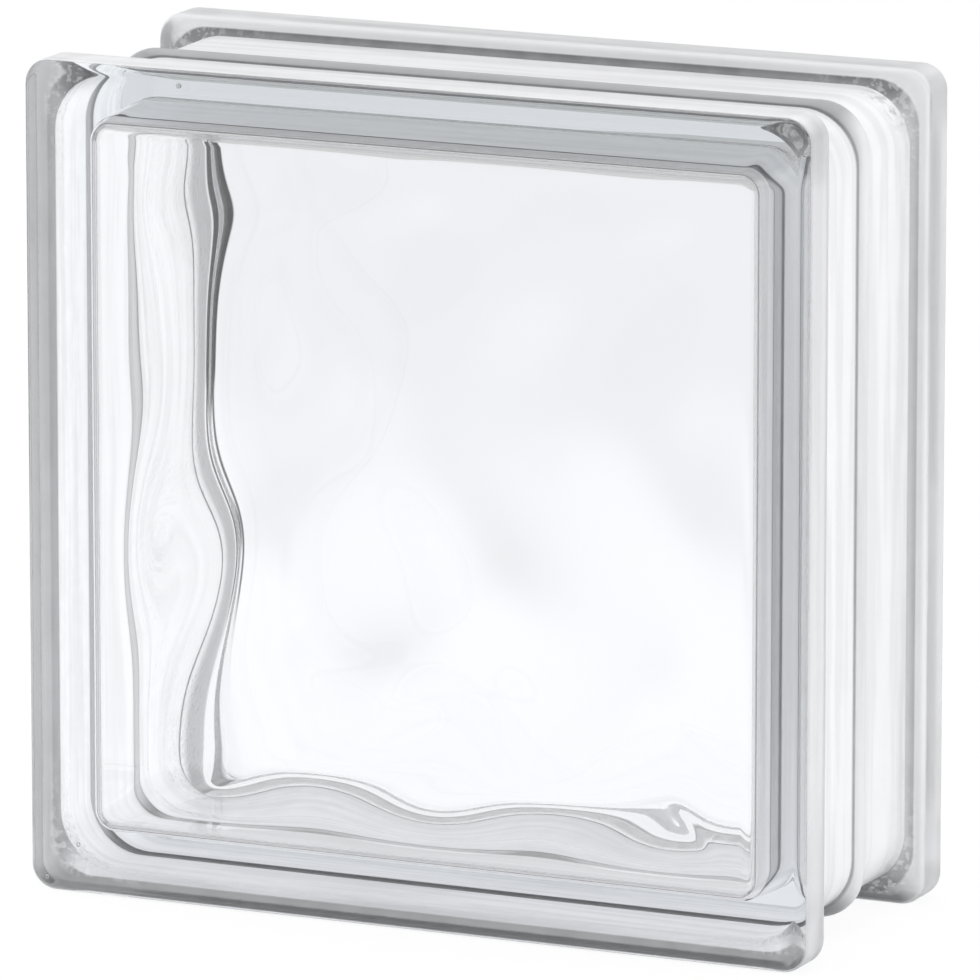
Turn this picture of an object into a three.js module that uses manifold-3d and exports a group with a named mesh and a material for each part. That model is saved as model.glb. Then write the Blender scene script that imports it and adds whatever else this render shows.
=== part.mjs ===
// A hollow clear-glass building block, made as the real one is: two pressed glass
// halves, each an open square cup, fused mouth to mouth round their rims.
//
// Units are millimetres. +X is right, +Y is depth from the front face to the back face,
// and +Z is up. The origin is under the middle of the block, on the plane it stands on.
// The seam between the two halves is the plane Y = 0.

import * as THREE from "three";
import { mergeVertices } from "three/addons/utils/BufferGeometryUtils.js";
import Module from "manifold-3d";

const wasm = await Module();
wasm.setup();

// ---- Driving dimensions ----------------------------------------------------------

// The block over its lips.
const blockWidth = 190;
const blockHeight = 190;
const blockDepth = 80;

// The lip is the thick border of each face. It stands out all round, past the side wall.
const lipDepth = 12;
const lipFrontRadius = 2.5;
const lipRearRadius = 1.5;
const lipCornerRadius = 8.5;

// The side wall is set back from the lip, and the two lips bound the mortar channel.
// Pressing leaves the wall a little slanted, so it is set back more at the seam.
const wallSetbackAtLip = 4.2;
const wallSetbackAtSeam = 4.5;
const wallFootRadius = 1.5;
const wallCornerRadius = 13;

// The fused seam stands out as a round bead, outside and inside.
const outerBeadHeight = 1.5;
const outerBeadHalfWidth = 2.6;
const innerBeadHeight = 0.6;
const innerBeadHalfWidth = 2.2;

// Glass thicknesses. The pressing plunger is tapered, so the wall thickens to the face,
// and its corners tighten from the seam to the fillet round its end.
const faceThickness = 7.5;
const wallThicknessAtSeam = 6.7;
const plungerTaper = 4.5; // degrees
const hollowCornerAtSeam = 10;
const hollowCornerAtFillet = 5;
const hollowFilletRadius = 3.5;

// The wavy relief inside each face: crossing trains of smooth waves with broad crests and
// narrower valleys. Each has a length from crest to crest, a height, a heading in degrees
// from +X, and a shift along that heading in wave lengths. The waves level out towards the
// fillet round the face, over the last stretch of the given width.
const waveTrains = [
  { length: 55, height: 0.3, heading: 0, shift: 0.45 },
  { length: 50, height: 0.5, heading: 20, shift: 0.6 },
  { length: 45, height: 0.6, heading: -41, shift: 0.12 },
  { length: 36, height: 0.25, heading: -61, shift: 0.8 },
];
const valleySharpness = 0.2;
const waveFadeWidth = 18;

// Fineness of the facets.
const arcDivisions = 2; // a quarter round in a section gets twice as many segments
const outerCornerSteps = 6;
const hollowCornerSteps = 5;
const hollowSideSteps = 20;
const waveRings = 14;
const beadSteps = 4;
const plungerOvershoot = 1; // how far the plunger passes the seam plane

// ---- Worked-out sizes ------------------------------------------------------------

const halfDepth = blockDepth / 2;
const wallDepth = halfDepth - lipDepth;
const hollowDepth = halfDepth - faceThickness;
const hollowInset = wallSetbackAtSeam + wallThicknessAtSeam;
const taperSlope = Math.tan(THREE.MathUtils.degToRad(plungerTaper));
const hollowInsetAtFace = hollowInset + taperSlope * hollowDepth;
const flatHalfWidth = blockWidth / 2 - hollowInsetAtFace - hollowFilletRadius;
const flatHalfHeight = blockHeight / 2 - hollowInsetAtFace - hollowFilletRadius;

// ---- Outlines and lofts ----------------------------------------------------------

// A rounded rectangle parallel to the face, seen from the front. `inset` is its distance
// inside the block's outline and `distance` its distance from the seam. The points start
// at the right end of the bottom side and go round anticlockwise.
function roundedOutline(inset, cornerRadius, distance, cornerSteps, sideSteps) {
  const halfWidth = blockWidth / 2 - inset;
  const halfHeight = blockHeight / 2 - inset;
  const acrossCentre = halfWidth - cornerRadius;
  const upCentre = halfHeight - cornerRadius;
  const corners = [
    [acrossCentre, -upCentre, -Math.PI / 2],
    [acrossCentre, upCentre, 0],
    [-acrossCentre, upCentre, Math.PI / 2],
    [-acrossCentre, -upCentre, Math.PI],
  ];
  const points = [];
  corners.forEach(([across, up, startAngle], index) => {
    for (let step = 0; step <= cornerSteps; step++) {
      const angle = startAngle + (step / cornerSteps) * (Math.PI / 2);
      const x = across + cornerRadius * Math.cos(angle);
      const z = up + cornerRadius * Math.sin(angle);
      points.push(new THREE.Vector3(x, -distance, z));
    }
    const [nextAcross, nextUp, nextAngle] = corners[(index + 1) % corners.length];
    const sideStart = points[points.length - 1];
    const sideEnd = new THREE.Vector3(
      nextAcross + cornerRadius * Math.cos(nextAngle),
      -distance,
      nextUp + cornerRadius * Math.sin(nextAngle),
    );
    for (let step = 1; step < sideSteps; step++) {
      points.push(sideStart.clone().lerp(sideEnd, step / sideSteps));
    }
  });
  return points;
}

// A closed body through a row of outlines that all have the same number of points. Its
// first and last outlines are closed by fans to their middle points.
function loftSolid(outlines) {
  const count = outlines[0].length;
  const positions = outlines.flat().flatMap((point) => point.toArray());
  const triangles = [];
  for (let ring = 0; ring + 1 < outlines.length; ring++) {
    for (let i = 0; i < count; i++) {
      const here = ring * count + i;
      const next = ring * count + ((i + 1) % count);
      triangles.push(here, next, here + count);
      triangles.push(next, next + count, here + count);
    }
  }
  const lastStart = (outlines.length - 1) * count;
  const startMiddle = positions.length / 3;
  positions.push(...middleOf(outlines[0]).toArray());
  const endMiddle = startMiddle + 1;
  positions.push(...middleOf(outlines[outlines.length - 1]).toArray());
  for (let i = 0; i < count; i++) {
    const next = (i + 1) % count;
    triangles.push(startMiddle, next, i);
    triangles.push(endMiddle, lastStart + i, lastStart + next);
  }
  const geometry = new THREE.BufferGeometry();
  geometry.setAttribute("position", new THREE.Float32BufferAttribute(positions, 3));
  geometry.setIndex(triangles);
  return solidFromGeometry(geometry);
}

function middleOf(outline) {
  const middle = new THREE.Vector3();
  outline.forEach((point) => middle.add(point));
  return middle.divideScalar(outline.length);
}

function solidFromGeometry(geometry) {
  const merged = mergeVertices(geometry);
  return new wasm.Manifold(
    new wasm.Mesh({
      numProp: 3,
      vertProperties: Float32Array.from(merged.attributes.position.array),
      triVerts: Uint32Array.from(merged.index.array),
    }),
  );
}

function geometryFromSolid(solid) {
  const mesh = solid.getMesh();
  const geometry = new THREE.BufferGeometry();
  geometry.setAttribute("position", new THREE.BufferAttribute(mesh.vertProperties, 3));
  geometry.setIndex(new THREE.BufferAttribute(mesh.triVerts, 1));
  geometry.computeVertexNormals();
  return geometry;
}

// ---- The section of a half -------------------------------------------------------

// The outside of the section from the seam to the face, as points whose x is the inset from
// the block's outline and whose y is the distance from the seam.
function outerSection() {
  const section = new THREE.Path();
  section.moveTo(wallSetbackAtSeam, outerBeadHalfWidth);
  const footCentreInset = wallSetbackAtLip - wallFootRadius;
  section.lineTo(wallSetbackAtLip, wallDepth - wallFootRadius);
  section.absarc(footCentreInset, wallDepth - wallFootRadius, wallFootRadius, 0, Math.PI / 2);
  section.lineTo(lipRearRadius, wallDepth);
  const lipRearCentre = wallDepth + lipRearRadius;
  section.absarc(lipRearRadius, lipRearCentre, lipRearRadius, -Math.PI / 2, -Math.PI, true);
  const lipFrontCentre = halfDepth - lipFrontRadius;
  section.lineTo(0, lipFrontCentre);
  section.absarc(lipFrontRadius, lipFrontCentre, lipFrontRadius, Math.PI, Math.PI / 2, true);
  return section.getPoints(arcDivisions);
}

// Half of the round seam bead, from its crest on the seam plane down to the wall.
function beadSection(inset, height, halfWidth) {
  const points = [];
  for (let step = 0; step < beadSteps; step++) {
    const angle = (step / beadSteps) * (Math.PI / 2);
    const rise = height * Math.cos(angle);
    points.push(new THREE.Vector2(inset - rise, halfWidth * Math.sin(angle)));
  }
  return points;
}

// The outline's corner is tighter on the lip than on the wall behind it. Round the front
// edge of the lip it keeps one centre.
function outerCornerAt(inset, distance) {
  if (distance >= halfDepth - lipFrontRadius) {
    return lipCornerRadius - inset;
  }
  const wallShare = Math.min(inset / wallSetbackAtLip, 1);
  return THREE.MathUtils.lerp(lipCornerRadius, wallCornerRadius, wallShare);
}

// ---- The two tools that press a half -----------------------------------------------

// What the mould shapes: the half block as if it were solid.
function mouldedBlank() {
  const bead = beadSection(wallSetbackAtSeam, outerBeadHeight, outerBeadHalfWidth);
  const wallOutlines = bead.map((point) =>
    roundedOutline(point.x, wallCornerRadius, point.y, outerCornerSteps, 1),
  );
  const lipOutlines = outerSection().map((point) =>
    roundedOutline(point.x, outerCornerAt(point.x, point.y), point.y, outerCornerSteps, 1),
  );
  return loftSolid([...wallOutlines, ...lipOutlines]);
}

// The height of the wavy relief at a place on the inner face.
function waveHeight(x, z) {
  let height = 0;
  for (const train of waveTrains) {
    const heading = THREE.MathUtils.degToRad(train.heading);
    const along = x * Math.cos(heading) + z * Math.sin(heading);
    const turn = 2 * Math.PI * (along / train.length + train.shift);
    height += train.height * (Math.sin(turn) + valleySharpness * Math.cos(2 * turn));
  }
  const toFillet = Math.min(flatHalfWidth - Math.abs(x), flatHalfHeight - Math.abs(z));
  return height * THREE.MathUtils.smoothstep(toFillet, 0, waveFadeWidth);
}

// The corner radius of the hollow's outline at a distance from the seam.
function hollowCornerAt(distance) {
  const share = THREE.MathUtils.clamp(distance / (hollowDepth - hollowFilletRadius), 0, 1);
  return THREE.MathUtils.lerp(hollowCornerAtSeam, hollowCornerAtFillet, share);
}

// What the plunger presses out: the hollow, with its tapered walls, the fillet round its
// end, and the waves on its end.
function plunger() {
  const outlineAt = (inset, cornerRadius, distance) =>
    roundedOutline(inset, cornerRadius, distance, hollowCornerSteps, hollowSideSteps);
  const crest = hollowInset + innerBeadHeight;
  const outlines = [outlineAt(crest, hollowCornerAtSeam, -plungerOvershoot)];
  for (const point of beadSection(hollowInset, -innerBeadHeight, innerBeadHalfWidth)) {
    outlines.push(outlineAt(point.x, hollowCornerAt(point.y), point.y));
  }
  const beadFootInset = hollowInset + taperSlope * innerBeadHalfWidth;
  const beadFootCorner = hollowCornerAt(innerBeadHalfWidth);
  outlines.push(outlineAt(beadFootInset, beadFootCorner, innerBeadHalfWidth));

  // The fillet's arc runs from the wall to the face.
  const filletSteps = 2 * arcDivisions;
  const filletStart = hollowDepth - hollowFilletRadius;
  for (let step = 0; step <= filletSteps; step++) {
    const angle = (step / filletSteps) * (Math.PI / 2);
    const turnedIn = hollowFilletRadius * (1 - Math.cos(angle));
    const distance = filletStart + hollowFilletRadius * Math.sin(angle);
    outlines.push(
      outlineAt(hollowInsetAtFace + turnedIn, hollowCornerAtFillet - turnedIn, distance),
    );
  }

  const rim = outlines[outlines.length - 1];
  for (let ring = 1; ring < waveRings; ring++) {
    const scale = 1 - ring / waveRings;
    outlines.push(
      rim.map((point) => {
        const x = point.x * scale;
        const z = point.z * scale;
        return new THREE.Vector3(x, waveHeight(x, z) - hollowDepth, z);
      }),
    );
  }
  return loftSolid(outlines);
}

function pressedHalf() {
  return geometryFromSolid(mouldedBlank().subtract(plunger()));
}

// ---- The block ---------------------------------------------------------------------

function clearGlass(color) {
  return new THREE.MeshStandardMaterial({
    color,
    roughness: 0.04,
    metalness: 0,
    transparent: true,
    opacity: 0.4,
  });
}

// Both halves come from the same mould, and the back one is turned round to face back.
const half = pressedHalf();

const frontHalf = new THREE.Mesh(half, clearGlass(0xdfe9e8));
frontHalf.name = "front_half";

const backHalf = new THREE.Mesh(half.clone(), clearGlass(0xd6e3e3));
backHalf.name = "back_half";
backHalf.rotation.z = Math.PI;

const group = new THREE.Group();
group.name = "glass_block";
group.add(frontHalf, backHalf);
group.position.z = blockHeight / 2;

export default group;
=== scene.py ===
"""A hollow clear-glass building block: two pressed halves fused at a middle seam.

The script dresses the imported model. All lengths are in metres, in the model's own frame:
+X right, +Y from the front face to the back face, +Z up, with the block standing on Z = 0.
"""

import math

import bpy
import numpy as np
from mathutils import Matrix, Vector


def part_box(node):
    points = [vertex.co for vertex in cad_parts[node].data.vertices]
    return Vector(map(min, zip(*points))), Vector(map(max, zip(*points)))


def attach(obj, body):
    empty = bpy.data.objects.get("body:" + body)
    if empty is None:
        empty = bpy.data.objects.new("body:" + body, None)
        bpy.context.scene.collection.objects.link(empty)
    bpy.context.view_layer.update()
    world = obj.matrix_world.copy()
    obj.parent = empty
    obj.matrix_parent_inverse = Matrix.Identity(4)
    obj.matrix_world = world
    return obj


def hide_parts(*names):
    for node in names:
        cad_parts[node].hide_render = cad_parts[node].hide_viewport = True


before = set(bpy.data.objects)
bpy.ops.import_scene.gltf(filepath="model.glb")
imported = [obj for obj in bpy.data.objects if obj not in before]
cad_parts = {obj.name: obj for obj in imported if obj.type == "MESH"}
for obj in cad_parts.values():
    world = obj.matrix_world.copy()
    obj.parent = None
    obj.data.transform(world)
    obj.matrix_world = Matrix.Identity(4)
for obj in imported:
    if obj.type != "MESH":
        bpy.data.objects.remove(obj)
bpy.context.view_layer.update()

# ---- Sizes of the block, as the solids have them ------------------------------------

MM = 0.001
FRONT_LOW, FRONT_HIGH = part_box("front_half")
BACK_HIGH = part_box("back_half")[1]
BLOCK_WIDTH = FRONT_HIGH[0] - FRONT_LOW[0]
BLOCK_HEIGHT = FRONT_HIGH[2] - FRONT_LOW[2]
BLOCK_DEPTH = BACK_HIGH[1] - FRONT_LOW[1]
BLOCK_MIDDLE = Vector((0.0, 0.0, FRONT_LOW[2] + BLOCK_HEIGHT / 2))

LIP_DEPTH = 12 * MM
LIP_FRONT_RADIUS = 2.5 * MM
LIP_REAR_RADIUS = 1.5 * MM
LIP_CORNER_RADIUS = 6 * MM

WALL_SETBACK_AT_LIP = 4.2 * MM
WALL_SETBACK_AT_SEAM = 4.5 * MM
WALL_FOOT_RADIUS = 1.5 * MM
WALL_CORNER_RADIUS = 13 * MM

OUTER_BEAD_HEIGHT = 1.5 * MM
OUTER_BEAD_HALF_WIDTH = 2.6 * MM
INNER_BEAD_HEIGHT = 0.6 * MM
INNER_BEAD_HALF_WIDTH = 2.2 * MM

FACE_THICKNESS = 7.5 * MM
WALL_THICKNESS_AT_SEAM = 6.7 * MM
PLUNGER_TAPER = math.radians(4.5)
HOLLOW_CORNER_AT_SEAM = 10 * MM
HOLLOW_CORNER_AT_FILLET = 5 * MM
HOLLOW_FILLET_RADIUS = 3.5 * MM

# Crossing wave trains inside each face: (length, height, heading, shift in wave lengths).
WAVE_TRAINS = (
    (55 * MM, 0.3 * MM, math.radians(0), 0.45),
    (50 * MM, 0.5 * MM, math.radians(20), 0.6),
    (45 * MM, 0.6 * MM, math.radians(-41), 0.12),
    (36 * MM, 0.25 * MM, math.radians(-61), 0.8),
)
WAVE_FADE = 18 * MM

# Air bubbles in the front half's glass: place from the block's middle, and radius.
BUBBLES = (
    ((-57.3 * MM, -36.0 * MM, 91.0 * MM), 0.7 * MM),
    ((92.8 * MM, -37.2 * MM, 87.0 * MM), 0.6 * MM),
    ((-83.4 * MM, -37.0 * MM, -84.0 * MM), 0.6 * MM),
    ((-91.3 * MM, -36.8 * MM, -92.2 * MM), 0.5 * MM),
)
BUBBLE_STEPS = 12

# The parts of the outside that are finished each in their own way, from the seam to the face:
# the bead, its edge, the wall, the foot, the shoulder, the lip and the front of the lip.
# Beyond POLISHED_FROM the glass is polished. All but the two widths are distances from the seam.
BEAD_CREST_REACH = OUTER_BEAD_HALF_WIDTH * 0.95
BEAD_EDGE_REACH = OUTER_BEAD_HALF_WIDTH * 1.05
BEAD_EDGE_WIDTH = 0.9 * MM
FOOT_EDGE_WIDTH = 0.3 * MM
LIP_FROM = 28.45 * MM
LIP_FRONT_FROM = 32.5 * MM
POLISHED_FROM = 38.5 * MM

# The matt bonding coat differs from side to side. Each row of four has the values on the
# right, top, left and bottom.
COAT_TRANSLUCENCY = (0.42, 0.24, 0.6, 0.9)
SIDE_BLEND = 8 * MM

# For each part: how much of it the coat covers, and its painted shade on the front half and on
# the back half: how pale the coat is painted where light falls, how dark where shade falls.
COATS = {
    "lip_front": ((0.7, 0.85, 0.8, 0.7), (0.66, 1.0, 0.66, 0.08), (0.66, 0.66, 0.55, 0.35)),
    "lip": ((0.7, 0.85, 0.7, 0.7), (0.66, 1.0, 0.66, 0.08), (0.66, 0.66, 0.95, 0.95)),
    "shoulder": ((0.8, 0.8, 0.8, 0.8), (0.74, 0.74, 0.64, 0.08), (0.9, 0.74, 0.35, 0.1)),
    "foot": ((1.0, 1.0, 1.0, 1.0), (0.5, 0.08, 0.6, 1.0), (0.4, 0.02, 0.2, 0.05)),
    "wall": ((1.0, 1.0, 1.0, 1.0), (1.0, 0.88, 1.0, 0.95), (1.0, 0.95, 1.0, 1.0)),
    "bead_edge": ((1.0, 1.0, 1.0, 1.0), (0.25, 0.02, 0.45, 0.15), (0.25, 0.02, 0.45, 0.15)),
    "bead": ((1.0, 1.0, 1.0, 1.0), (0.8, 0.3, 0.7, 0.3), (0.8, 0.3, 0.7, 0.3)),
}

# The coat wrinkles on the foot and beside it, in the four corners.
WRINKLE_REACH = 16 * MM
WRINKLE_FADE = 8 * MM
WRINKLE_INSET = 2 * MM

# Fineness of the mesh.
HALF_CORNER_STEPS = 6
OUTER_SIDE_STEPS = 8
HOLLOW_SIDE_STEPS = 108
EDGE_STEPS = 8
LIP_STEPS = 4
FOOT_STEPS = 6
WALL_STEPS = 12
BEAD_STEPS = 8
FILLET_STEPS = 10
SUPPORT_INSET = 0.4 * MM

HALF_DEPTH = BLOCK_DEPTH / 2
WALL_DEPTH = HALF_DEPTH - LIP_DEPTH
HOLLOW_DEPTH = HALF_DEPTH - FACE_THICKNESS
HOLLOW_INSET = WALL_SETBACK_AT_SEAM + WALL_THICKNESS_AT_SEAM
HOLLOW_INSET_AT_FACE = HOLLOW_INSET + math.tan(PLUNGER_TAPER) * HOLLOW_DEPTH
FLAT_HALF_WIDTH = BLOCK_WIDTH / 2 - HOLLOW_INSET_AT_FACE - HOLLOW_FILLET_RADIUS
QUARTER_TURN = math.pi / 2


# ---- Outlines -------------------------------------------------------------------------


def rounded_outline(inset, corner_radius, distance, side_steps):
    """Points round a rounded square parallel to the faces, `distance` in front of the seam.

    They start at the middle of the lower right corner and go round by the right side, and
    each of the four sides has the same number of steps, so they also bound a square grid.
    """
    across = BLOCK_WIDTH / 2 - inset - corner_radius
    up = BLOCK_HEIGHT / 2 - inset - corner_radius
    corners = ((across, -up), (across, up), (-across, up), (-across, -up))
    points = []
    for index, (x, z) in enumerate(corners):
        next_x, next_z = corners[(index + 1) % 4]
        start_angle = index * QUARTER_TURN
        for step in range(HALF_CORNER_STEPS):
            angle = start_angle - QUARTER_TURN / 2 * (1 - step / HALF_CORNER_STEPS)
            points.append((x + corner_radius * math.cos(angle), z + corner_radius * math.sin(angle)))
        out_x, out_z = corner_radius * math.cos(start_angle), corner_radius * math.sin(start_angle)
        for step in range(side_steps):
            share = step / side_steps
            points.append((x + (next_x - x) * share + out_x, z + (next_z - z) * share + out_z))
        for step in range(HALF_CORNER_STEPS):
            angle = start_angle + QUARTER_TURN / 2 * step / HALF_CORNER_STEPS
            turn_x, turn_z = corner_radius * math.cos(angle), corner_radius * math.sin(angle)
            points.append((next_x + turn_x, next_z + turn_z))
    flat = np.array(points)
    return np.column_stack((flat[:, 0], np.full(len(flat), -distance), flat[:, 1]))


def arc(centre_inset, centre_distance, radius, start_angle, end_angle, steps):
    """Stations (inset, distance) along an arc of the section, both ends included."""
    for step in range(steps + 1):
        angle = start_angle + (end_angle - start_angle) * step / steps
        yield centre_inset + radius * math.cos(angle), centre_distance + radius * math.sin(angle)


def straight(start, end, steps):
    """Stations along a straight stretch of the section, without its two ends."""
    for step in range(1, steps):
        share = step / steps
        yield start[0] + (end[0] - start[0]) * share, start[1] + (end[1] - start[1]) * share


def bead_stations(inset, height, half_width):
    """Stations of half a round seam bead, from its crest on the seam down to the wall."""
    for step in range(BEAD_STEPS + 1):
        angle = QUARTER_TURN * step / BEAD_STEPS
        yield inset - height * math.cos(angle), half_width * math.sin(angle)


def outer_stations():
    """The outside of the section from the seam to the flat of the face."""
    foot_centre = (WALL_SETBACK_AT_LIP - WALL_FOOT_RADIUS, WALL_DEPTH - WALL_FOOT_RADIUS)
    lip_rear_centre = (LIP_REAR_RADIUS, WALL_DEPTH + LIP_REAR_RADIUS)
    lip_front_centre = (LIP_FRONT_RADIUS, HALF_DEPTH - LIP_FRONT_RADIUS)
    bead = list(bead_stations(WALL_SETBACK_AT_SEAM, OUTER_BEAD_HEIGHT, OUTER_BEAD_HALF_WIDTH))
    foot = list(arc(*foot_centre, WALL_FOOT_RADIUS, 0, QUARTER_TURN, FOOT_STEPS))
    foot.append((foot_centre[0] - FOOT_EDGE_WIDTH, WALL_DEPTH))
    rear = list(arc(*lip_rear_centre, LIP_REAR_RADIUS, -QUARTER_TURN, -math.pi, EDGE_STEPS))
    front = list(arc(*lip_front_centre, LIP_FRONT_RADIUS, math.pi, QUARTER_TURN, EDGE_STEPS))
    support = [(LIP_FRONT_RADIUS + SUPPORT_INSET, HALF_DEPTH)]
    bead.append((WALL_SETBACK_AT_SEAM, OUTER_BEAD_HALF_WIDTH + BEAD_EDGE_WIDTH))
    wall = list(straight(bead[-1], foot[0], WALL_STEPS))
    lip = list(straight(rear[-1], front[0], LIP_STEPS))
    return bead + wall + foot + rear + lip + front + support


def outer_corner(inset, distance):
    """The corner radius of an outside outline: tight on the lip, wide on the wall."""
    if distance >= HALF_DEPTH - LIP_FRONT_RADIUS:
        return LIP_CORNER_RADIUS - inset
    share = min(max(inset / WALL_SETBACK_AT_LIP, 0), 1)
    return LIP_CORNER_RADIUS + (WALL_CORNER_RADIUS - LIP_CORNER_RADIUS) * share


def hollow_inset(distance):
    """How far the tapered wall of the hollow is inside the block's outline."""
    return HOLLOW_INSET + math.tan(PLUNGER_TAPER) * distance


def wave_height(x, z):
    """The height of the wavy relief inside a face. It levels out towards the fillet."""
    height = np.zeros_like(x)
    for length, crest, heading, shift in WAVE_TRAINS:
        along = x * math.cos(heading) + z * math.sin(heading)
        height += crest * np.sin(2 * math.pi * (along / length + shift))
    share = np.clip((FLAT_HALF_WIDTH - np.maximum(abs(x), abs(z))) / WAVE_FADE, 0, 1)
    return height * share * share * (3 - 2 * share)


# ---- Mesh parts -----------------------------------------------------------------------


def square_grid(rim):
    """A square grid of points that fills a closed rim, blended from the rim's four sides."""
    steps = len(rim) // 4
    sides = [np.roll(rim, -index * steps, axis=0)[: steps + 1] for index in range(4)]
    right, top, left, bottom = sides[0], sides[1][::-1], sides[2][::-1], sides[3]
    u = np.linspace(0, 1, steps + 1)[:, None, None]
    v = np.linspace(0, 1, steps + 1)[None, :, None]
    across = (1 - u) * left[None, :, :] + u * right[None, :, :]
    along = (1 - v) * bottom[:, None, :] + v * top[:, None, :]
    corners = (
        (1 - u) * (1 - v) * left[0]
        + u * (1 - v) * right[0]
        + (1 - u) * v * left[-1]
        + u * v * right[-1]
    )
    return across + along - corners


def rim_indices(steps):
    """The grid places (column, row) of the rim's points, in the rim's own order."""
    places = [(steps, row) for row in range(steps)]
    places += [(column, steps) for column in range(steps, 0, -1)]
    places += [(0, row) for row in range(steps, 0, -1)]
    places += [(column, 0) for column in range(steps)]
    return places


# What is kept at each point of the mesh for the material, and its values on polished glass.
# The third is painted light and shade on the coat.
FINISHES = ("grain", "coat", "painted_shade", "thin", "wrinkle")
POLISHED = (0.0, 0.0, 0.0, 0.0, 0.0)


class GlassMesh:
    """Collects the points and faces of the glass surfaces, and how each point is finished."""

    def __init__(self):
        self.points = []
        self.faces = []
        self.finishes = []

    def add_points(self, points, finish=POLISHED):
        start = len(self.points)
        self.points.extend(map(tuple, points))
        self.finishes.extend(map(tuple, np.broadcast_to(finish, (len(points), len(FINISHES)))))
        return np.arange(start, len(self.points))

    def loft(self, rings, flip):
        """Joins rings of point numbers by bands of quads."""
        for first, second in zip(rings, rings[1:]):
            ahead_first, ahead_second = np.roll(first, -1), np.roll(second, -1)
            for a, b, c, d in zip(first, ahead_first, ahead_second, second):
                self.faces.append((d, c, b, a) if flip else (a, b, c, d))

    def cap(self, ring, rim, relief, flip):
        """Fills a ring with a square grid, raised by the relief function."""
        grid = square_grid(rim)
        steps = len(rim) // 4
        numbers = np.full((steps + 1, steps + 1), -1)
        for number, (column, row) in zip(ring, rim_indices(steps)):
            numbers[column, row] = number
        inside = grid[1:-1, 1:-1].reshape(-1, 3)
        inside = relief(inside)
        numbers[1:-1, 1:-1] = self.add_points(inside).reshape(steps - 1, steps - 1)
        for column in range(steps):
            for row in range(steps):
                a, b = numbers[column, row], numbers[column + 1, row]
                c, d = numbers[column + 1, row + 1], numbers[column, row + 1]
                self.faces.append((a, b, c, d) if not flip else (d, c, b, a))

    def add_bubble(self, centre, radius):
        """A small sphere whose faces look into its own air."""
        angles = np.linspace(0, 2 * math.pi, BUBBLE_STEPS, endpoint=False)
        rings = []
        for step in range(1, BUBBLE_STEPS // 2):
            tilt = math.pi * step / (BUBBLE_STEPS // 2)
            wide, high = radius * math.sin(tilt), radius * math.cos(tilt)
            ring = (wide * np.cos(angles), wide * np.sin(angles), np.full(BUBBLE_STEPS, high))
            rings.append(self.add_points(np.column_stack(ring) + centre))
        self.loft(rings, False)
        top, bottom = self.add_points(np.array(centre) + ((0, 0, radius), (0, 0, -radius)))
        for ring, ahead in zip((rings[0], rings[-1][::-1]), (top, bottom)):
            self.faces.extend((b, a, ahead) for a, b in zip(ring, np.roll(ring, -1)))

    def to_object(self, name):
        """Makes the Blender object, smooth, with the finishes as point attributes."""
        mesh = bpy.data.meshes.new(name)
        places = [tuple(map(float, point)) for point in self.points]
        mesh.from_pydata(places, [], [tuple(map(int, face)) for face in self.faces])
        mesh.polygons.foreach_set("use_smooth", [True] * len(mesh.polygons))
        for attribute, values in zip(FINISHES, zip(*self.finishes)):
            mesh.attributes.new(attribute, "FLOAT", "POINT").data.foreach_set("value", values)
        thing = bpy.data.objects.new(name, mesh)
        bpy.context.scene.collection.objects.link(thing)
        return thing


def turned(points):
    """The same points on the back half: turned half a turn about the upright axis."""
    return points * np.array((-1.0, -1.0, 1.0))


def lifted(points):
    """The same points in the model's frame, where the block stands on the floor."""
    return points + np.array(BLOCK_MIDDLE)


def unchanged(points):
    """The points as they are: no relief, or the front half, which isn't turned."""
    return points


def hollow_corner(distance, angle=0.0):
    """The corner radius of a hollow outline: it tightens up the wall and round the fillet."""
    share = distance / (HOLLOW_DEPTH - HOLLOW_FILLET_RADIUS)
    wall_corner = HOLLOW_CORNER_AT_SEAM + (HOLLOW_CORNER_AT_FILLET - HOLLOW_CORNER_AT_SEAM) * min(share, 1)
    return wall_corner - HOLLOW_FILLET_RADIUS * (1 - math.cos(angle))


def hollow_rings():
    """The rings of the front half's hollow, from the seam to the wavy face's rim."""
    rings = []
    for inset, distance in bead_stations(HOLLOW_INSET, -INNER_BEAD_HEIGHT, INNER_BEAD_HALF_WIDTH):
        slant = math.tan(PLUNGER_TAPER) * distance
        rings.append(rounded_outline(inset + slant, hollow_corner(distance), distance, HOLLOW_SIDE_STEPS))
    fillet_start = HOLLOW_DEPTH - HOLLOW_FILLET_RADIUS
    for step in range(1, WALL_STEPS):
        share = step / WALL_STEPS
        distance = INNER_BEAD_HALF_WIDTH + (fillet_start - INNER_BEAD_HALF_WIDTH) * share
        corner = hollow_corner(distance)
        rings.append(rounded_outline(hollow_inset(distance), corner, distance, HOLLOW_SIDE_STEPS))
    for step in range(FILLET_STEPS + 1):
        angle = QUARTER_TURN * step / FILLET_STEPS
        inset = HOLLOW_INSET_AT_FACE + HOLLOW_FILLET_RADIUS * (1 - math.cos(angle))
        distance = fillet_start + HOLLOW_FILLET_RADIUS * math.sin(angle)
        rings.append(rounded_outline(inset, hollow_corner(distance, angle), distance, HOLLOW_SIDE_STEPS))
    return rings


def wavy(points):
    """The inside of the front face: flat points raised to the wavy relief."""
    raised = points.copy()
    raised[:, 1] = wave_height(points[:, 0], points[:, 2]) - HOLLOW_DEPTH
    return raised


def outer_part(inset, distance):
    """The name of the part of the outside that a station is on."""
    if distance > LIP_FROM:
        return "lip_front" if distance > LIP_FRONT_FROM else "lip"
    if inset < WALL_SETBACK_AT_LIP - WALL_FOOT_RADIUS - FOOT_EDGE_WIDTH / 2:
        return "shoulder"
    if distance > WALL_DEPTH - WALL_FOOT_RADIUS:
        return "foot"
    if distance > BEAD_EDGE_REACH:
        return "wall"
    return "bead_edge" if distance > BEAD_CREST_REACH else "bead"


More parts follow.
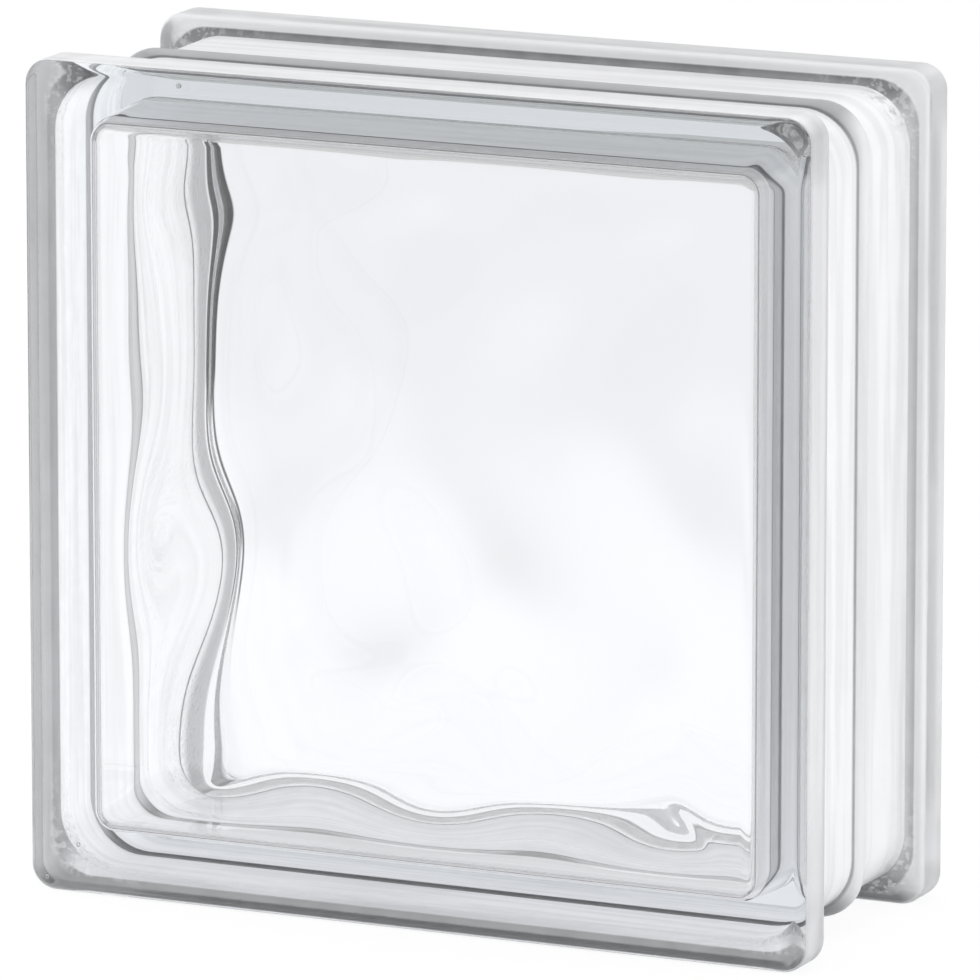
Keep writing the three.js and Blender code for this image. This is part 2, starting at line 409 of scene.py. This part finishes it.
def by_side(points, values):
    """Spreads a value for each side over a ring of points, blended at the corners."""
    x, z = points[:, 0], points[:, 2]
    leads = np.array((x - abs(z), z - abs(x), -x - abs(z), -z - abs(x)))
    weights = np.clip(leads / SIDE_BLEND + 0.5, 0, 1)
    return np.array(values) @ weights / weights.sum(axis=0)


def outer_finish(points, inset, distance):
    """The finish of each point of a ring of the outside, with the coat's painted shade."""
    if distance > POLISHED_FROM:
        return POLISHED
    covers, front_painted_shades, back_painted_shades = COATS[outer_part(inset, distance)]
    on_back = points[0, 1] > 0
    cover = by_side(points, covers)
    # Painted shade: the coat is painted paler or darker by side and by half, as light or shade falls.
    painted_shade = by_side(points, back_painted_shades if on_back else front_painted_shades)
    thin = by_side(points, COAT_TRANSLUCENCY)
    wrinkle = np.zeros(len(points))
    if inset > WRINKLE_INSET and distance > WALL_DEPTH - WRINKLE_FADE:
        beside = np.minimum(abs(points[:, 0]), abs(points[:, 2]))
        wrinkle = np.clip((beside - (BLOCK_WIDTH / 2 - inset - WRINKLE_REACH)) / WRINKLE_FADE, 0, 1)
    return np.column_stack((np.ones(len(points)), cover, painted_shade, thin, wrinkle))


def hollow_finish(points, inset, distance):
    """The inside of the block is polished all over."""
    return POLISHED


def build_block():
    """The fused block: one closed outside surface and one closed surface of the hollow."""
    glass = GlassMesh()
    stations = outer_stations()
    outer = [rounded_outline(inset, outer_corner(inset, distance), distance, OUTER_SIDE_STEPS)
             for inset, distance in stations]
    hollow = hollow_rings()
    anywhere = [(0.0, 0.0)] * len(hollow)
    for rings, places, finish, relief, inward in (
        (outer, stations, outer_finish, unchanged, False),
        (hollow, anywhere, hollow_finish, wavy, True),
    ):
        seam = glass.add_points(lifted(rings[0]), finish(rings[0], *places[0]))
        # A turned ring starts at the lower left corner and goes round the other way.
        turned_seam = seam[(3 * (len(seam) // 4) - np.arange(len(seam))) % len(seam)]
        for first, turn in ((seam, unchanged), (turned_seam, turned)):
            half = [first]
            for ring, place in zip(rings[1:], places[1:]):
                half.append(glass.add_points(lifted(turn(ring)), finish(turn(ring), *place)))
            glass.loft(half, inward)
            shape = lambda points, turn=turn, relief=relief: lifted(turn(relief(points)))
            glass.cap(half[-1], rings[-1], shape, flip=inward)
    for place, radius in BUBBLES:
        glass.add_bubble(lifted(np.array(place)), radius)
    return glass.to_object("glass_block")


# ---- Materials ------------------------------------------------------------------------


class Shader:
    """Builds a node tree: each call adds one node and gives back its output."""

    def __init__(self, tree):
        self.tree = tree
        tree.nodes.clear()

    def node(self, kind, inputs=(), **settings):
        """Adds a node, sets its properties, and sets or links its inputs by name or number."""
        node = self.tree.nodes.new(kind)
        for name, value in settings.items():
            setattr(node, name, value)
        for key, value in dict(inputs).items():
            if isinstance(value, bpy.types.NodeSocket):
                self.tree.links.new(value, node.inputs[key])
            else:
                node.inputs[key].default_value = value
        return node

    def math(self, operation, *values):
        return self.node("ShaderNodeMath", enumerate(values), operation=operation).outputs[0]

    def ranged(self, value, low, high, from_value, to_value):
        """A smooth step from one value to another."""
        inputs = enumerate((value, low, high, from_value, to_value))
        return self.node("ShaderNodeMapRange", inputs, interpolation_type="SMOOTHSTEP").outputs[0]

    def between(self, value, start, full, fade, end):
        """One between the two inner values, and a smooth fall to zero at the outer ones."""
        rise, fall = self.ranged(value, start, full, 0.0, 1.0), self.ranged(value, fade, end, 1.0, 0.0)
        return self.math("MULTIPLY", rise, fall)

    def attribute(self, name):
        return self.node("ShaderNodeAttribute", attribute_name=name).outputs["Fac"]

    def noise(self, place, scale, detail=2.0):
        inputs = {"Vector": place, "Scale": scale, "Detail": detail}
        return self.node("ShaderNodeTexNoise", inputs).outputs[0]

    def mixed_colour(self, factor, first, second):
        inputs = {"Factor": factor, "A": first, "B": second}
        return self.node("ShaderNodeMix", inputs, data_type="RGBA").outputs["Result"]

    def mixed(self, factor, first, second):
        """A mix of two shaders."""
        return self.node("ShaderNodeMixShader", enumerate((factor, first, second))).outputs[0]


def new_material(name):
    """A new material and the shader that builds its nodes."""
    material = bpy.data.materials.new(name)
    material.use_nodes = True
    return material, Shader(material.node_tree)


GLASS_IOR = 1.52
GLASS_TINT = (0.7, 0.738, 0.758, 1)
GLASS_TINT_DENSITY = 12.0

# The coat's own pale colour, the dark colour that its painted shade goes down to, and its gloss.
COAT_COLOUR = (0.94, 0.94, 0.95, 1)
PAINTED_SHADE_COLOUR = (0.1, 0.105, 0.11, 1)
COAT_ROUGHNESS = 0.3
COAT_COVER = 0.92

# The relief of the moulded and coated surfaces.
GRAIN_ROUGHNESS = 0.3
FINE_GRAIN_SCALE = 900.0
GRAIN_HEIGHT = 0.2
WRINKLE_SCALE = 700.0
WRINKLE_HEIGHT = 1.2
BUMP_DISTANCE = 0.3 * MM

# The coat's thin blotches, the specks that came off it, and its streaks. The edges are the
# heights of the noise between which each one comes in.
BLOTCH_SCALE = 160.0
BLOTCH_DEPTH = 0.06
BLOTCH_EDGES = (0.35, 0.65)
SPECK_DEPTH = 0.3
SPECK_EDGES = (0.48, 0.62)
# Streaks run along the channel: the pattern is drawn out that much sideways and upwards.
STREAK_SCALE = 260.0
STREAK_STRETCH = (0.06, 1.0, 0.06)
STREAK_DEPTH = 0.12
STREAK_EDGES = (0.35, 0.6)


def glass_material():
    """Clear glass: polished faces, grainy moulded lip sides, white bonding coat with painted shade in the
    channel.
    """
    material, shader = new_material("clear_glass")
    grain, coat = shader.attribute("grain"), shader.attribute("coat")
    painted_shade, thin, wrinkle = (shader.attribute(name) for name in ("painted_shade", "thin", "wrinkle"))
    place = shader.node("ShaderNodeTexCoord").outputs["Object"]

    fine = shader.math("MULTIPLY", shader.noise(place, FINE_GRAIN_SCALE, 1.0), GRAIN_HEIGHT)
    crinkle = shader.noise(place, WRINKLE_SCALE)
    wrinkles = shader.math("MULTIPLY", shader.math("MULTIPLY", crinkle, WRINKLE_HEIGHT), wrinkle)
    height = shader.math("ADD", fine, wrinkles)
    bump = shader.node("ShaderNodeBump", {"Height": height, "Distance": BUMP_DISTANCE}).outputs[0]

    clear = {"Base Color": (1, 1, 1, 1), "IOR": GLASS_IOR, "Transmission Weight": 1.0}
    polished = shader.node("ShaderNodeBsdfPrincipled", clear | {"Roughness": 0.0}).outputs[0]
    grainy = {"Roughness": GRAIN_ROUGHNESS, "Normal": bump}
    moulded = shader.node("ShaderNodeBsdfPrincipled", clear | grainy).outputs[0]

    drawn_out = shader.node("ShaderNodeVectorMath", {0: place, 1: STREAK_STRETCH}, operation="MULTIPLY")
    streaks = shader.noise(drawn_out.outputs[0], STREAK_SCALE)
    # Painted shade: the coat's colour goes from its own pale colour towards the dark painted shade colour
    # where shade falls; the streaks are the coat's own.
    painted_shade_and_streaks = shader.math("MULTIPLY", painted_shade, shader.ranged(streaks, *STREAK_EDGES, 1.0 - STREAK_DEPTH, 1.0))
    colour = shader.mixed_colour(painted_shade_and_streaks, PAINTED_SHADE_COLOUR, COAT_COLOUR)
    coating = {"Base Color": colour, "Roughness": COAT_ROUGHNESS, "Normal": bump}
    matt = shader.node("ShaderNodeBsdfPrincipled", coating).outputs[0]
    through = shader.node("ShaderNodeBsdfTranslucent", {"Color": colour, "Normal": bump}).outputs[0]
    # The painted shade also cuts how much lamp light the coat lets through.
    layer = shader.mixed(shader.math("MULTIPLY", painted_shade, thin), matt, through)

    # The coat is thin in blotches, and comes off in specks in the wrinkled corners.
    blotches = shader.ranged(shader.noise(place, BLOTCH_SCALE), *BLOTCH_EDGES, 1.0 - BLOTCH_DEPTH, 1.0)
    specks = shader.ranged(crinkle, *SPECK_EDGES, 0.0, SPECK_DEPTH)
    kept = shader.math("SUBTRACT", 1.0, shader.math("MULTIPLY", wrinkle, specks))
    part_cover = shader.math("MULTIPLY", coat, COAT_COVER)
    cover = shader.math("MULTIPLY", shader.math("MULTIPLY", part_cover, blotches), kept)
    surface = shader.mixed(grain, polished, shader.mixed(cover, moulded, layer))

    depth = shader.node("ShaderNodeVolumeAbsorption", {"Color": GLASS_TINT, "Density": GLASS_TINT_DENSITY})
    shader.node("ShaderNodeOutputMaterial", {"Surface": surface, "Volume": depth.outputs[0]})
    return material


# ---- Stage ----------------------------------------------------------------------------

CAMERA_AZIMUTH = math.radians(24.7)
CAMERA_ELEVATION = math.radians(11.95)
CAMERA_DISTANCE = 2.4
PIXELS = 980
PIXELS_PER_METRE = 4475.0
SENSOR_WIDTH = 36.0
CAMERA_REACH = 50.0
# Where the block's middle is in the picture, in pixels from the picture's middle.
MIDDLE_RIGHT = -4.4
MIDDLE_DOWN = -10.5


def make_camera():
    """A camera without shift, turned so that the block's middle falls on its place."""
    sin_a, cos_a = math.sin(CAMERA_AZIMUTH), math.cos(CAMERA_AZIMUTH)
    sin_e, cos_e = math.sin(CAMERA_ELEVATION), math.cos(CAMERA_ELEVATION)
    back = Vector((sin_a * cos_e, -cos_a * cos_e, sin_e))
    right = Vector((cos_a, sin_a, 0))
    up = back.cross(right)
    aim = BLOCK_MIDDLE - right * (MIDDLE_RIGHT / PIXELS_PER_METRE) + up * (MIDDLE_DOWN / PIXELS_PER_METRE)
    data = bpy.data.cameras.new("camera")
    data.sensor_width = SENSOR_WIDTH
    data.lens = PIXELS_PER_METRE * CAMERA_DISTANCE / PIXELS * SENSOR_WIDTH
    data.clip_end = CAMERA_REACH
    camera = bpy.data.objects.new("camera", data)
    camera.location = BLOCK_MIDDLE + back * CAMERA_DISTANCE
    camera.rotation_mode = "QUATERNION"
    camera.rotation_quaternion = (aim - camera.location).to_track_quat("-Z", "Y")
    bpy.context.scene.collection.objects.link(camera)
    bpy.context.scene.camera = camera


# How much of the floor is plain white to the camera, and the painted light it shows in the glass:
# bright behind the block, dimmer far off and in front. Slopes are sideways against backwards.
FLOOR_SIZE = 6.0
FLOOR_COLOUR = (0.9, 0.9, 0.9, 1)
FLOOR_GLOW = 0.92
FLOOR_IN_GLASS = 1.08
FLOOR_IN_GLASS_FAR = 0.94
FLOOR_IN_GLASS_FRONT = 0.9
FLOOR_FALL = (0.2, 0.6)
FLOOR_FRONT_EDGE = (-0.06, -0.04)
FLOOR_TINT_IN_GLASS = (0.975, 0.975, 1.0, 1)
# Painted shade on the floor in the glass: a dim wedge at each side behind, a dark band farther off.
WEDGE_DARKNESS = 0.88
WEDGE_SLOPES = (1.3, 1.5, 1.8, 2.1)
WEDGE_START = (0.1, 0.2)
PAINTED_DARK_BAND_SLOPES = (1.1, 1.3, 5.0, 7.0)
PAINTED_DARK_BAND_START = (0.44, 0.52)
PAINTED_DARK_BAND_DEPTH = 0.985


def make_floor():
    """A pale floor that takes the block's shadow, and shows painted light and shade inside clear glass."""
    mesh = bpy.data.meshes.new("floor")
    reach = FLOOR_SIZE / 2
    corners = [(-reach, -reach, 0), (reach, -reach, 0), (reach, reach, 0), (-reach, reach, 0)]
    mesh.from_pydata(corners, [], [(0, 1, 2, 3)])
    floor = bpy.data.objects.new("floor", mesh)
    bpy.context.scene.collection.objects.link(floor)
    material, shader = new_material("pale_floor")
    path = shader.node("ShaderNodeLightPath")
    pale = shader.node("ShaderNodeBsdfDiffuse", {"Color": FLOOR_COLOUR}).outputs[0]
    white = shader.node("ShaderNodeEmission").outputs[0]
    for_camera = shader.math("MULTIPLY", path.outputs["Is Camera Ray"], FLOOR_GLOW)
    plain = shader.mixed(for_camera, pale, white)

    position = shader.node("ShaderNodeNewGeometry").outputs["Position"]
    place = shader.node("ShaderNodeSeparateXYZ", {0: position})
    aside = shader.math("ABSOLUTE", place.outputs["X"])
    behind = place.outputs["Y"]
    slope = shader.math("DIVIDE", aside, shader.math("MAXIMUM", behind, MM))
    near = shader.math("MULTIPLY", shader.between(slope, *WEDGE_SLOPES), WEDGE_DARKNESS)
    near = shader.math("MULTIPLY", near, shader.ranged(behind, *WEDGE_START, 0.0, 1.0))
    far = shader.math("MULTIPLY", shader.between(slope, *PAINTED_DARK_BAND_SLOPES), PAINTED_DARK_BAND_DEPTH)
    far = shader.math("MULTIPLY", far, shader.ranged(aside, *PAINTED_DARK_BAND_START, 0.0, 1.0))
    wedge = shader.math("MAXIMUM", near, far)
    fall = shader.ranged(behind, *FLOOR_FALL, FLOOR_IN_GLASS, FLOOR_IN_GLASS_FAR)
    front = shader.ranged(behind, *FLOOR_FRONT_EDGE, FLOOR_IN_GLASS_FRONT, 1.0)
    level = shader.math("MULTIPLY", shader.math("MULTIPLY", fall, front), shader.math("SUBTRACT", 1.0, wedge))
    # Painted light: where glass shows it, the floor glows at this level, with painted shade in the wedge and
    # the band.
    seen = shader.node("ShaderNodeEmission", {"Color": FLOOR_TINT_IN_GLASS, "Strength": level}).outputs[0]
    in_glass = shader.math("MAXIMUM", path.outputs["Is Glossy Ray"], path.outputs["Is Transmission Ray"])
    shader.node("ShaderNodeOutputMaterial", {"Surface": shader.mixed(in_glass, plain, seen)})
    floor.data.materials.append(material)


# The studio round the block, as brightness by direction.
BACKDROP = 0.8
FRONT = 0.95
FLAG = 0.85
FLAG_EDGES = (0.6, 0.75)
FLAG_DEPTHS = (0.3, 0.45)
OVERHEAD = 0.38
OVERHEAD_EDGES = (0.5, 0.9)
DEPTH_EDGES = (-0.3, 0.4)


def make_world():
    """Light all round by direction, with a dim flag at each side. The camera sees plain white."""
    world = bpy.data.worlds.new("studio")
    bpy.context.scene.world = world
    world.use_nodes = True
    shader = Shader(world.node_tree)
    direction = shader.node("ShaderNodeTexCoord").outputs["Generated"]
    split = shader.node("ShaderNodeSeparateXYZ", {0: direction})
    depth = shader.ranged(split.outputs["Y"], *DEPTH_EDGES, FRONT, BACKDROP)
    aside = shader.math("ABSOLUTE", split.outputs["X"])
    level_with = shader.math("ABSOLUTE", split.outputs["Y"])
    flag = shader.math(
        "MULTIPLY",
        shader.ranged(aside, *FLAG_EDGES, 0.0, FLAG),
        shader.ranged(level_with, *FLAG_DEPTHS, 1.0, 0.0),
    )
    above = shader.ranged(split.outputs["Z"], *OVERHEAD_EDGES, 0.0, OVERHEAD)
    flagged = shader.math("MULTIPLY", depth, shader.math("SUBTRACT", 1.0, flag))
    level = shader.math("ADD", flagged, above)
    path = shader.node("ShaderNodeLightPath")
    inputs = {"Factor": path.outputs["Is Camera Ray"], "A": level, "B": 1.0}
    strength = shader.node("ShaderNodeMix", inputs, data_type="FLOAT").outputs["Result"]
    background = shader.node("ShaderNodeBackground", {"Strength": strength}).outputs[0]
    shader.node("ShaderNodeOutputWorld", {"Surface": background})


# Each lamp: its place from the block's middle, its size and its power.
LAMPS = (
    ((1.5, 0.0, 0.4), 1.0, 18.5),
    ((-1.5, 0.0, 0.4), 1.0, 24.0),
    ((0.0, 0.0, 1.6), 1.0, 8.0),
)


def make_lamps():
    """Soft lamps beside and above the block. They light its matt coat, and no glass mirrors them."""
    for place, size, power in LAMPS:
        data = bpy.data.lights.new("soft_lamp", "AREA")
        data.size = size
        data.energy = power
        light = bpy.data.objects.new("soft_lamp", data)
        light.location = BLOCK_MIDDLE + Vector(place)
        light.rotation_mode = "QUATERNION"
        light.rotation_quaternion = (BLOCK_MIDDLE - light.location).to_track_quat("-Z", "Y")
        light.visible_glossy = False
        light.visible_transmission = False
        bpy.context.scene.collection.objects.link(light)


make_camera()
block = build_block()
block.data.materials.append(glass_material())
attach(block, "root")
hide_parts("front_half", "back_half")
make_floor()
make_world()
make_lamps()
bpy.context.scene.view_settings.view_transform = "Standard"
